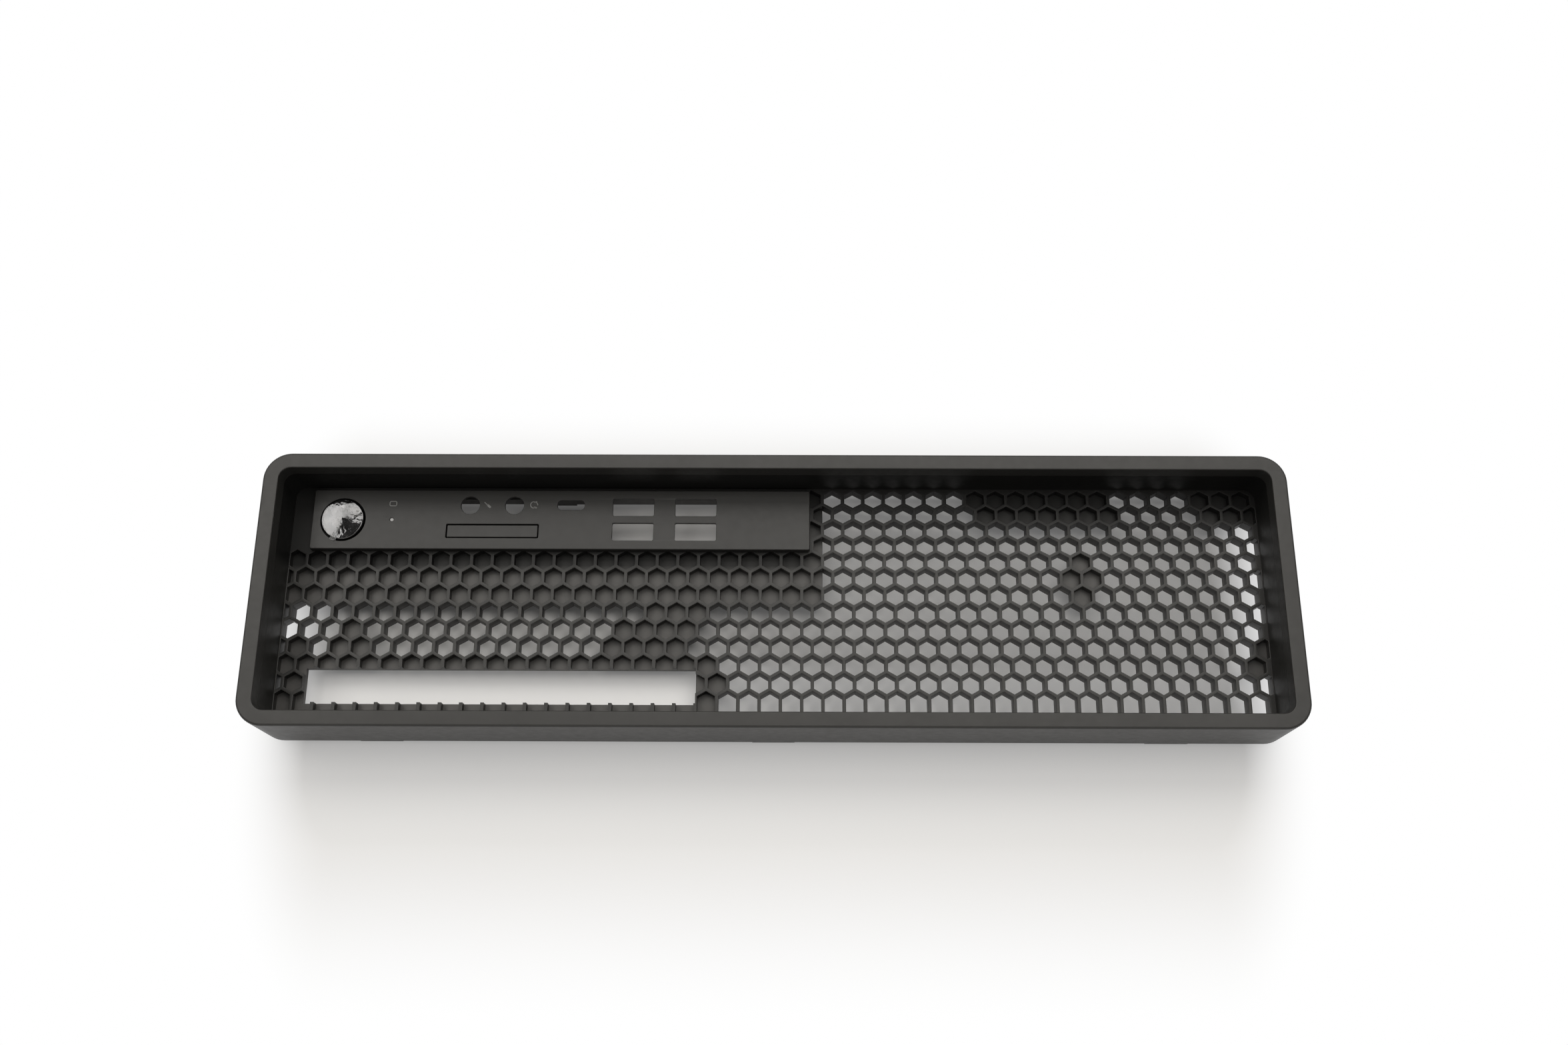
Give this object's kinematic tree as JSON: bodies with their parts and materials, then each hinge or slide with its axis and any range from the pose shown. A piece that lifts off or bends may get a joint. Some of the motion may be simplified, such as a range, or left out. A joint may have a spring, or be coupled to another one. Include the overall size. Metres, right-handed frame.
{
  "type": "computer front bezel",
  "caption": "Deep rimmed front bezel of a small workstation, with a hexagon mesh floor, a raised port panel, a drive slot, snap tabs and a sprung round power button.",
  "frame": {"origin": "below the middle of the bezel, level with the tips of its snap tabs", "axes": "+X along its length, +Y towards its top edge, +Z out of its front"},
  "size_m": [0.3396, 0.092, 0.0296],
  "materials": {
    "frame_plastic": "fine moulded grain",
    "grille_plastic": "fine moulded grain",
    "panel_plastic": "fine moulded grain, a little smoother than the frame",
    "clear_plastic": "clear, frosted at its tip",
    "bright_plating": "bright plated",
    "clear_film": "clear protective film",
    "spring_steel": "rolled strip"
  },
  "bodies": {
    "bezel": {"front_frame": "frame_plastic", "grille_tray": "grille_plastic", "io_panel": "panel_plastic", "card_slot_blank": "panel_plastic", "drive_light_pipe": "clear_plastic", "button_spring": "spring_steel"},
    "button": {"power_button": "bright_plating", "button_film": "clear_film", "button_plunger": "grille_plastic"}
  },
  "joints": [
    {"name": "button_press", "type": "slide", "parent": "bezel", "child": "button", "axis": [0, 0, -1], "range_m": [0, 0.0012], "stiffness_N_per_m": 1500, "deforming": ["button_spring"]}
  ]
}
